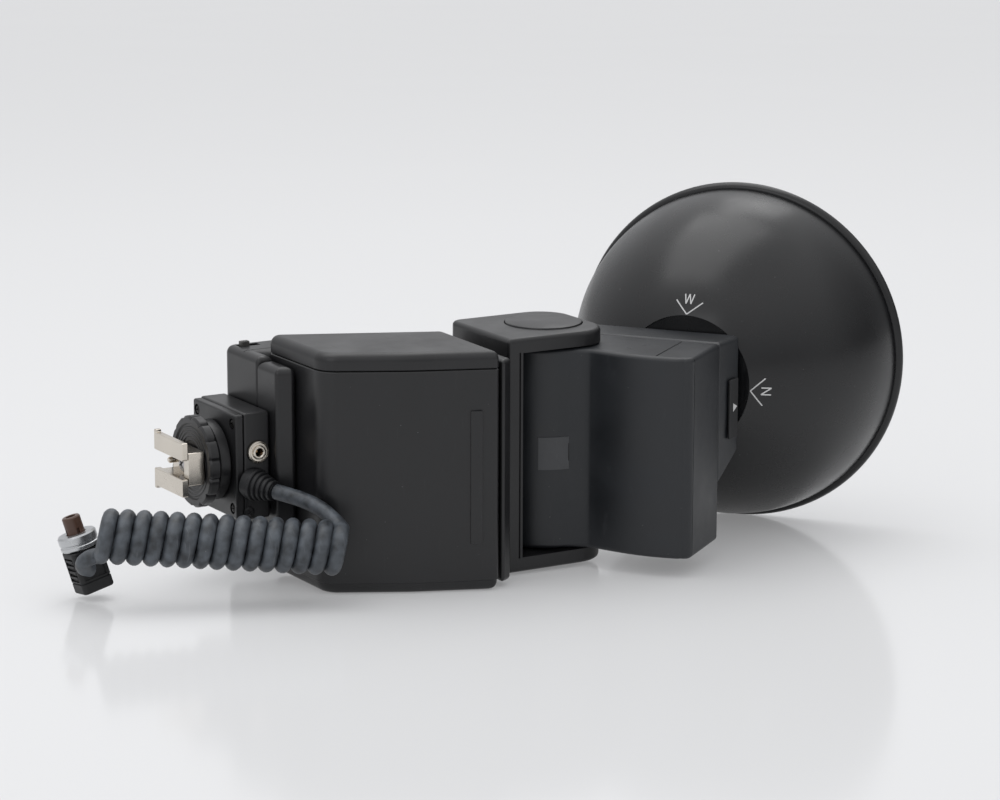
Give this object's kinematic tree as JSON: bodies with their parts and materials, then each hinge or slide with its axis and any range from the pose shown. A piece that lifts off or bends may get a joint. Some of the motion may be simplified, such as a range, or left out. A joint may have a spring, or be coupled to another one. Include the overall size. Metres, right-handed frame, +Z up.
{
  "type": "flash gun",
  "caption": "Electronic flash gun with a round bowl reflector on a tilting and swivelling head, slanted battery housing, clamping shoe foot and a coiled cord with a plug.",
  "frame": {"origin": "on the surface the flash lies on, below the centre of its box without the cord", "axes": "+X from the mounting foot to the lamp head, +Z up from the surface it lies on, -Y towards the slanted front of the battery housing"},
  "size_m": [0.3088, 0.1334, 0.1241],
  "materials": {
    "body_plastic": "fine-grained black moulded plastic",
    "head_plastic": "smooth blue-black moulded plastic",
    "soft_black": "plain black plastic",
    "relief_rubber": "moulded black rubber",
    "reflector_paint": "spun aluminium, satin black outside and bright inside",
    "nickel": "nickel-plated",
    "steel": "plain steel",
    "cell_metal": "metal-cased cells, of about a real cell's density",
    "contact_metal": "copper-coloured",
    "board": "circuit board",
    "glass": "clear glass cover of the tube",
    "window_plastic": "clear cover over a dark display",
    "lamp_red": "red lens",
    "button_plastic": "light grey plastic",
    "cord_rubber": "dusty blue-grey rubber",
    "plug_metal": "silver-coloured ring",
    "plug_plastic": "brown insulator"
  },
  "bodies": {
    "body": {"badge_plate": "soft_black", "battery_cell_1": "cell_metal", "battery_cell_2": "cell_metal", "battery_cell_3": "cell_metal", "battery_cell_4": "cell_metal", "battery_housing": "body_plastic", "body_end_shell": "body_plastic", "circuit_board": "board", "contact_pin": "nickel", "contact_plate_lower": "board", "contact_plate_upper": "board", "control_housing": "body_plastic", "control_panel": "soft_black", "cord_coil": "cord_rubber", "cord_lead": "cord_rubber", "cord_tail": "cord_rubber", "corner_post": "body_plastic", "display_window": "window_plastic", "foot_block": "body_plastic", "foot_end_plate": "body_plastic", "foot_hub": "body_plastic", "foot_post": "steel", "foot_screw_1": "steel", "foot_screw_2": "steel", "foot_screw_3": "steel", "foot_screw_4": "steel", "inverter_transformer": "contact_metal", "jack_contact": "contact_metal", "main_capacitor": "cell_metal", "plug_body": "relief_rubber", "plug_ring": "plug_metal", "plug_tip": "plug_plastic", "ready_lamp": "lamp_red", "shoe_neck": "nickel", "shoe_plate": "nickel", "shoe_screw": "steel", "strain_relief": "relief_rubber", "swivel_turntable": "soft_black", "sync_jack": "nickel"},
    "yoke_body": {"yoke": "body_plastic", "upper_pivot_cap": "body_plastic", "lower_pivot_cap": "body_plastic", "upper_pivot_pin": "steel", "lower_pivot_pin": "steel", "swivel_shaft": "steel"},
    "head": {"head_rear_shell": "head_plastic", "head_front_shell": "head_plastic", "index_window": "soft_black", "lamp_socket": "soft_black", "flash_tube": "glass"},
    "reflector": {"reflector_bowl": "reflector_paint", "reflector_rim": "reflector_paint", "reflector_collar": "soft_black"},
    "battery_lid": {"battery_lid": "body_plastic"},
    "locking_ring": {"locking_ring": "body_plastic"},
    "power_switch": {"power_switch": "button_plastic"},
    "mode_dial": {"mode_dial": "body_plastic"},
    "button_1": {"panel_button_1": "button_plastic"},
    "button_2": {"panel_button_2": "button_plastic"},
    "button_3": {"panel_button_3": "button_plastic"}
  },
  "joints": [
    {"name": "head_swivel", "type": "hinge", "parent": "body", "child": "yoke_body", "pos_m": [-0.00334, -0.0066, 0.04292], "axis": [0.9999, 0, 0.0155], "range_deg": [-270, 0]},
    {"name": "head_tilt", "type": "hinge", "parent": "yoke_body", "child": "head", "pos_m": [-0.00334, -0.0066, 0.04292], "axis": [-0.0155, -0.0312, 0.9994], "range_deg": [-37, 53]},
    {"name": "reflector_turn", "type": "hinge", "parent": "head", "child": "reflector", "pos_m": [0.04733, -0.01975, 0.06017], "axis": [0.7972, 0.6029, 0.0312], "range_deg": [0, 90]},
    {"name": "locking_ring_turn", "type": "hinge", "parent": "body", "child": "locking_ring", "pos_m": [-0.12324, 0.02214, 0.04195], "axis": [-0.9999, 0, -0.0155], "range_deg": [-180, 180]},
    {"name": "battery_lid_slide", "type": "slide", "parent": "body", "child": "battery_lid", "axis": [0.0005, -0.9995, -0.0312], "range_m": [0, 0.045]},
    {"name": "power_switch_slide", "type": "slide", "parent": "body", "child": "power_switch", "axis": [0.9999, 0, 0.0155], "range_m": [0, 0.0035]},
    {"name": "mode_dial_turn", "type": "hinge", "parent": "body", "child": "mode_dial", "pos_m": [-0.08574, 0.04057, 0.0291], "axis": [-0.0005, 0.9995, 0.0312], "range_deg": [-150, 150]},
    {"name": "button_1_press", "type": "slide", "parent": "body", "child": "button_1", "axis": [0.0005, -0.9995, -0.0312], "range_m": [0, 0.0008], "stiffness_N_per_m": 150},
    {"name": "button_2_press", "type": "slide", "parent": "body", "child": "button_2", "axis": [0.0005, -0.9995, -0.0312], "range_m": [0, 0.0008], "stiffness_N_per_m": 150},
    {"name": "button_3_press", "type": "slide", "parent": "body", "child": "button_3", "axis": [0.0005, -0.9995, -0.0312], "range_m": [0, 0.0008], "stiffness_N_per_m": 150}
  ]
}
